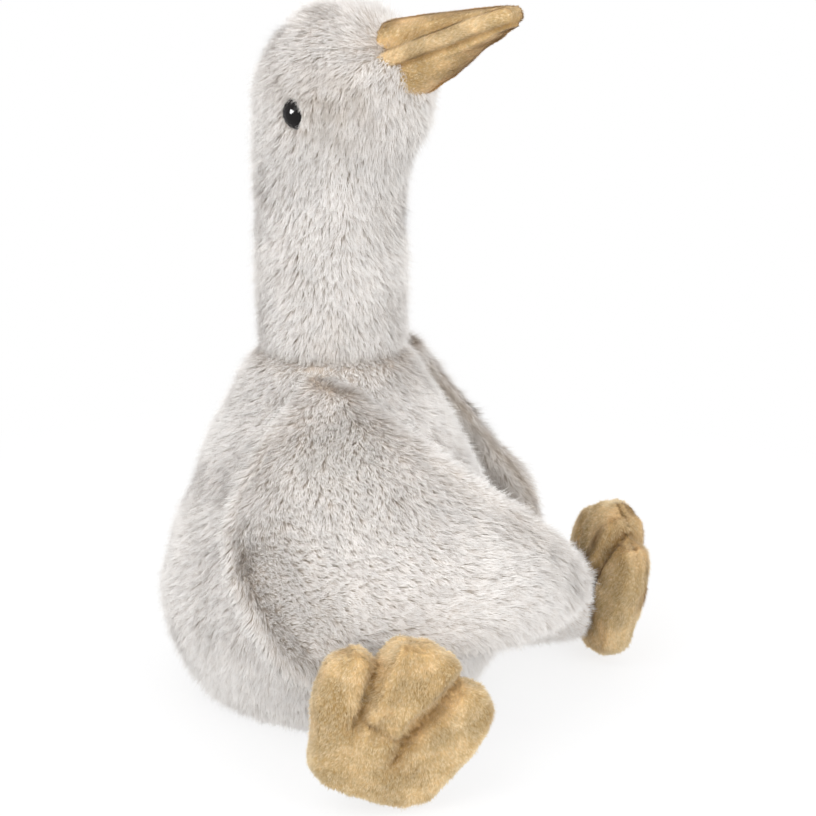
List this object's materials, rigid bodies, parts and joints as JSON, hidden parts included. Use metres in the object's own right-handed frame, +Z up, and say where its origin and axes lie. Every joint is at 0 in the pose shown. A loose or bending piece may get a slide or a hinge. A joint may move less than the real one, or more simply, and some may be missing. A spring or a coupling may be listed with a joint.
{
  "type": "plush goose",
  "caption": "Seated soft toy goose with a long neck, raised stuffed beak, padded wings, splayed legs and three-toed feet; sits on a flat weighted seat.",
  "frame": {"origin": "on the floor, on the flat seat under the middle of the neck", "axes": "+Z up from the seat to the head; the goose faces -Y; its right side is at -X"},
  "size_m": [0.2328, 0.187, 0.2881],
  "materials": {
    "fur_cloth": "long-pile plush fur, warm pale greige with taupe roots",
    "seat_cloth": "short plain weave under the seat",
    "fibre_filling": "loose polyester fibre",
    "pouch_cloth": "plain woven pouch filled with small pellets",
    "velvet_cloth": "short-pile velvety plush, golden tan",
    "eye_plastic": "glossy black moulded plastic",
    "washer_plastic": "natural moulded plastic"
  },
  "bodies": {
    "root": {"torso_panel_right": "fur_cloth", "torso_panel_left": "fur_cloth", "seat_gusset": "seat_cloth", "torso_filling": "fibre_filling", "pellet_pouch": "pouch_cloth", "neck_panel_right": "fur_cloth", "neck_panel_left": "fur_cloth", "neck_filling": "fibre_filling", "beak_top_panel": "velvet_cloth", "beak_under_panel": "velvet_cloth", "beak_filling": "fibre_filling", "eye_right": "eye_plastic", "eye_washer_right": "washer_plastic", "wing_outer_panel_right": "fur_cloth", "wing_inner_panel_right": "fur_cloth", "wing_filling_right": "fibre_filling", "leg_tube_right": "fur_cloth", "leg_filling_right": "fibre_filling", "foot_sole_panel_right": "velvet_cloth", "foot_instep_panel_right": "velvet_cloth", "foot_filling_right": "fibre_filling", "eye_left": "eye_plastic", "eye_washer_left": "washer_plastic", "wing_outer_panel_left": "fur_cloth", "wing_inner_panel_left": "fur_cloth", "wing_filling_left": "fibre_filling", "leg_tube_left": "fur_cloth", "leg_filling_left": "fibre_filling", "foot_sole_panel_left": "velvet_cloth", "foot_instep_panel_left": "velvet_cloth", "foot_filling_left": "fibre_filling"}
  },
  "joints": []
}
